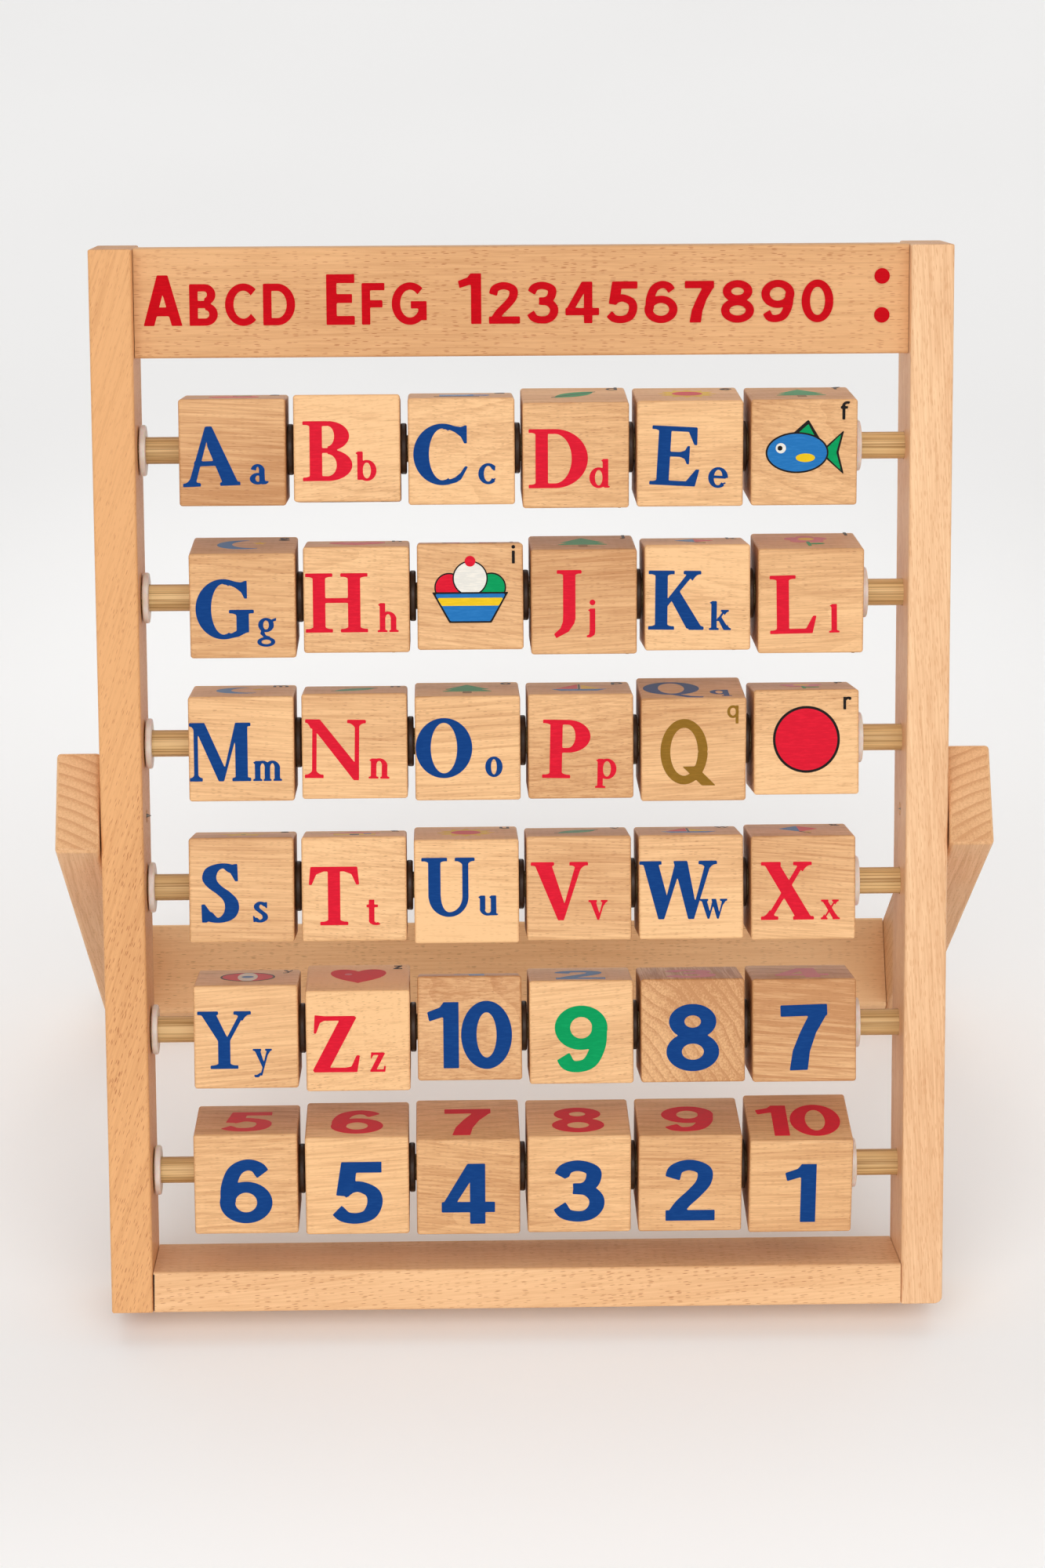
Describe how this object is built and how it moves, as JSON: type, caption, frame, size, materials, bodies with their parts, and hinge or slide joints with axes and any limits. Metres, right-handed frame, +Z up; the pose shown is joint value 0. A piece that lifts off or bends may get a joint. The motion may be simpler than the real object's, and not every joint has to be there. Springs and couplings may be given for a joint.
{
  "type": "alphabet rack",
  "caption": "Wooden alphabet rack: rows of letter and number blocks that turn and slide on dowels in an upright beech frame, leaning back on a fold-out stand.",
  "frame": {"origin": "on the floor under the middle of the rack's plan, with the stand open", "axes": "+X to the right along the dowels seen from the front, +Y to the back, +Z up; the frame leans back about 20 degrees"},
  "size_m": [0.3322, 0.24, 0.3701],
  "materials": {
    "frame_wood": "planed beech with a thin clear varnish",
    "block_wood": "planed beech, printed letters and pictures",
    "bamboo": "bamboo dowel with fine lengthwise fibres",
    "washer_plastic": "natural translucent nylon",
    "screw_steel": "plain steel wood screw"
  },
  "bodies": {
    "frame": {"stile_left": "frame_wood", "stile_right": "frame_wood", "top_rail": "frame_wood", "bottom_rail": "frame_wood", "dowel_1": "bamboo", "dowel_2": "bamboo", "dowel_3": "bamboo", "dowel_4": "bamboo", "dowel_5": "bamboo", "dowel_6": "bamboo", "pivot_screw_left": "screw_steel", "pivot_screw_right": "screw_steel"},
    "stand": {"leg_left": "frame_wood", "leg_right": "frame_wood", "cross_rail": "frame_wood"},
    "row_1": {"end_washer_1": "washer_plastic"},
    "row_2": {"end_washer_2": "washer_plastic"},
    "row_3": {"end_washer_3": "washer_plastic"},
    "row_4": {"end_washer_4": "washer_plastic"},
    "row_5": {"end_washer_5": "washer_plastic"},
    "row_6": {"end_washer_6": "washer_plastic"},
    "block_a": {"block_a": "block_wood"},
    "block_b": {"block_b": "block_wood"},
    "block_c": {"block_c": "block_wood"},
    "block_d": {"block_d": "block_wood"},
    "block_e": {"block_e": "block_wood"},
    "block_f": {"block_f": "block_wood"},
    "block_g": {"block_g": "block_wood"},
    "block_h": {"block_h": "block_wood"},
    "block_i": {"block_i": "block_wood"},
    "block_j": {"block_j": "block_wood"},
    "block_k": {"block_k": "block_wood"},
    "block_l": {"block_l": "block_wood"},
    "block_m": {"block_m": "block_wood"},
    "block_n": {"block_n": "block_wood"},
    "block_o": {"block_o": "block_wood"},
    "block_p": {"block_p": "block_wood"},
    "block_q": {"block_q": "block_wood"},
    "block_r": {"block_r": "block_wood"},
    "block_s": {"block_s": "block_wood"},
    "block_t": {"block_t": "block_wood"},
    "block_u": {"block_u": "block_wood"},
    "block_v": {"block_v": "block_wood"},
    "block_w": {"block_w": "block_wood"},
    "block_x": {"block_x": "block_wood"},
    "block_y": {"block_y": "block_wood"},
    "block_z": {"block_z": "block_wood"},
    "block_10": {"block_10": "block_wood"},
    "block_9": {"block_9": "block_wood"},
    "block_8": {"block_8": "block_wood"},
    "block_7": {"block_7": "block_wood"},
    "block_6": {"block_6": "block_wood"},
    "block_5": {"block_5": "block_wood"},
    "block_4": {"block_4": "block_wood"},
    "block_3": {"block_3": "block_wood"},
    "block_2": {"block_2": "block_wood"},
    "block_1": {"block_1": "block_wood"}
  },
  "joints": [
    {"name": "stand_fold", "type": "hinge", "parent": "frame", "child": "stand", "pos_m": [0, -0.04092, 0.17428], "axis": [1, 0, 0], "range_deg": [-62.4, 117.6]},
    {"name": "row_1_slide", "type": "slide", "parent": "frame", "child": "row_1", "axis": [1, 0, 0], "range_m": [-0.0121, 0.0153]},
    {"name": "row_2_slide", "type": "slide", "parent": "frame", "child": "row_2", "axis": [1, 0, 0], "range_m": [-0.0148, 0.0126]},
    {"name": "row_3_slide", "type": "slide", "parent": "frame", "child": "row_3", "axis": [1, 0, 0], "range_m": [-0.0135, 0.0139]},
    {"name": "row_4_slide", "type": "slide", "parent": "frame", "child": "row_4", "axis": [1, 0, 0], "range_m": [-0.0127, 0.0147]},
    {"name": "row_5_slide", "type": "slide", "parent": "frame", "child": "row_5", "axis": [1, 0, 0], "range_m": [-0.0134, 0.014]},
    {"name": "row_6_slide", "type": "slide", "parent": "frame", "child": "row_6", "axis": [1, 0, 0], "range_m": [-0.0125, 0.0149]},
    {"name": "block_a_turn", "type": "hinge", "parent": "row_1", "child": "block_a", "pos_m": [-0.10135, 0.00396, 0.29699], "axis": [1, 0, 0], "continuous": true},
    {"name": "block_b_turn", "type": "hinge", "parent": "row_1", "child": "block_b", "pos_m": [-0.06145, 0.00396, 0.29699], "axis": [1, 0, 0], "continuous": true},
    {"name": "block_c_turn", "type": "hinge", "parent": "row_1", "child": "block_c", "pos_m": [-0.02155, 0.00396, 0.29699], "axis": [1, 0, 0], "continuous": true},
    {"name": "block_d_turn", "type": "hinge", "parent": "row_1", "child": "block_d", "pos_m": [0.01835, 0.00396, 0.29699], "axis": [1, 0, 0], "continuous": true},
    {"name": "block_e_turn", "type": "hinge", "parent": "row_1", "child": "block_e", "pos_m": [0.05825, 0.00396, 0.29699], "axis": [1, 0, 0], "continuous": true},
    {"name": "block_f_turn", "type": "hinge", "parent": "row_1", "child": "block_f", "pos_m": [0.09815, 0.00396, 0.29699], "axis": [1, 0, 0], "continuous": true},
    {"name": "block_g_turn", "type": "hinge", "parent": "row_2", "child": "block_g", "pos_m": [-0.09865, -0.01399, 0.2479], "axis": [1, 0, 0], "continuous": true},
    {"name": "block_h_turn", "type": "hinge", "parent": "row_2", "child": "block_h", "pos_m": [-0.05875, -0.01399, 0.2479], "axis": [1, 0, 0], "continuous": true},
    {"name": "block_i_turn", "type": "hinge", "parent": "row_2", "child": "block_i", "pos_m": [-0.01885, -0.01399, 0.2479], "axis": [1, 0, 0], "continuous": true},
    {"name": "block_j_turn", "type": "hinge", "parent": "row_2", "child": "block_j", "pos_m": [0.02105, -0.01399, 0.2479], "axis": [1, 0, 0], "continuous": true},
    {"name": "block_k_turn", "type": "hinge", "parent": "row_2", "child": "block_k", "pos_m": [0.06095, -0.01399, 0.2479], "axis": [1, 0, 0], "continuous": true},
    {"name": "block_l_turn", "type": "hinge", "parent": "row_2", "child": "block_l", "pos_m": [0.10085, -0.01399, 0.2479], "axis": [1, 0, 0], "continuous": true},
    {"name": "block_m_turn", "type": "hinge", "parent": "row_3", "child": "block_m", "pos_m": [-0.09995, -0.03195, 0.19882], "axis": [1, 0, 0], "continuous": true},
    {"name": "block_n_turn", "type": "hinge", "parent": "row_3", "child": "block_n", "pos_m": [-0.06005, -0.03195, 0.19882], "axis": [1, 0, 0], "continuous": true},
    {"name": "block_o_turn", "type": "hinge", "parent": "row_3", "child": "block_o", "pos_m": [-0.02015, -0.03195, 0.19882], "axis": [1, 0, 0], "continuous": true},
    {"name": "block_p_turn", "type": "hinge", "parent": "row_3", "child": "block_p", "pos_m": [0.01975, -0.03195, 0.19882], "axis": [1, 0, 0], "continuous": true},
    {"name": "block_q_turn", "type": "hinge", "parent": "row_3", "child": "block_q", "pos_m": [0.05965, -0.03195, 0.19882], "axis": [1, 0, 0], "continuous": true},
    {"name": "block_r_turn", "type": "hinge", "parent": "row_3", "child": "block_r", "pos_m": [0.09955, -0.03195, 0.19882], "axis": [1, 0, 0], "continuous": true},
    {"name": "block_s_turn", "type": "hinge", "parent": "row_4", "child": "block_s", "pos_m": [-0.10075, -0.0499, 0.14973], "axis": [1, 0, 0], "continuous": true},
    {"name": "block_t_turn", "type": "hinge", "parent": "row_4", "child": "block_t", "pos_m": [-0.06085, -0.0499, 0.14973], "axis": [1, 0, 0], "continuous": true},
    {"name": "block_u_turn", "type": "hinge", "parent": "row_4", "child": "block_u", "pos_m": [-0.02095, -0.0499, 0.14973], "axis": [1, 0, 0], "continuous": true},
    {"name": "block_v_turn", "type": "hinge", "parent": "row_4", "child": "block_v", "pos_m": [0.01895, -0.0499, 0.14973], "axis": [1, 0, 0], "continuous": true},
    {"name": "block_w_turn", "type": "hinge", "parent": "row_4", "child": "block_w", "pos_m": [0.05885, -0.0499, 0.14973], "axis": [1, 0, 0], "continuous": true},
    {"name": "block_x_turn", "type": "hinge", "parent": "row_4", "child": "block_x", "pos_m": [0.09875, -0.0499, 0.14973], "axis": [1, 0, 0], "continuous": true},
    {"name": "block_y_turn", "type": "hinge", "parent": "row_5", "child": "block_y", "pos_m": [-0.10005, -0.06785, 0.10065], "axis": [1, 0, 0], "continuous": true},
    {"name": "block_z_turn", "type": "hinge", "parent": "row_5", "child": "block_z", "pos_m": [-0.06015, -0.06785, 0.10065], "axis": [1, 0, 0], "continuous": true},
    {"name": "block_10_turn", "type": "hinge", "parent": "row_5", "child": "block_10", "pos_m": [-0.02025, -0.06785, 0.10065], "axis": [1, 0, 0], "continuous": true},
    {"name": "block_9_turn", "type": "hinge", "parent": "row_5", "child": "block_9", "pos_m": [0.01965, -0.06785, 0.10065], "axis": [1, 0, 0], "continuous": true},
    {"name": "block_8_turn", "type": "hinge", "parent": "row_5", "child": "block_8", "pos_m": [0.05955, -0.06785, 0.10065], "axis": [1, 0, 0], "continuous": true},
    {"name": "block_7_turn", "type": "hinge", "parent": "row_5", "child": "block_7", "pos_m": [0.09945, -0.06785, 0.10065], "axis": [1, 0, 0], "continuous": true},
    {"name": "block_6_turn", "type": "hinge", "parent": "row_6", "child": "block_6", "pos_m": [-0.10095, -0.0858, 0.05156], "axis": [1, 0, 0], "continuous": true},
    {"name": "block_5_turn", "type": "hinge", "parent": "row_6", "child": "block_5", "pos_m": [-0.06105, -0.0858, 0.05156], "axis": [1, 0, 0], "continuous": true},
    {"name": "block_4_turn", "type": "hinge", "parent": "row_6", "child": "block_4", "pos_m": [-0.02115, -0.0858, 0.05156], "axis": [1, 0, 0], "continuous": true},
    {"name": "block_3_turn", "type": "hinge", "parent": "row_6", "child": "block_3", "pos_m": [0.01875, -0.0858, 0.05156], "axis": [1, 0, 0], "continuous": true},
    {"name": "block_2_turn", "type": "hinge", "parent": "row_6", "child": "block_2", "pos_m": [0.05865, -0.0858, 0.05156], "axis": [1, 0, 0], "continuous": true},
    {"name": "block_1_turn", "type": "hinge", "parent": "row_6", "child": "block_1", "pos_m": [0.09855, -0.0858, 0.05156], "axis": [1, 0, 0], "continuous": true}
  ]
}
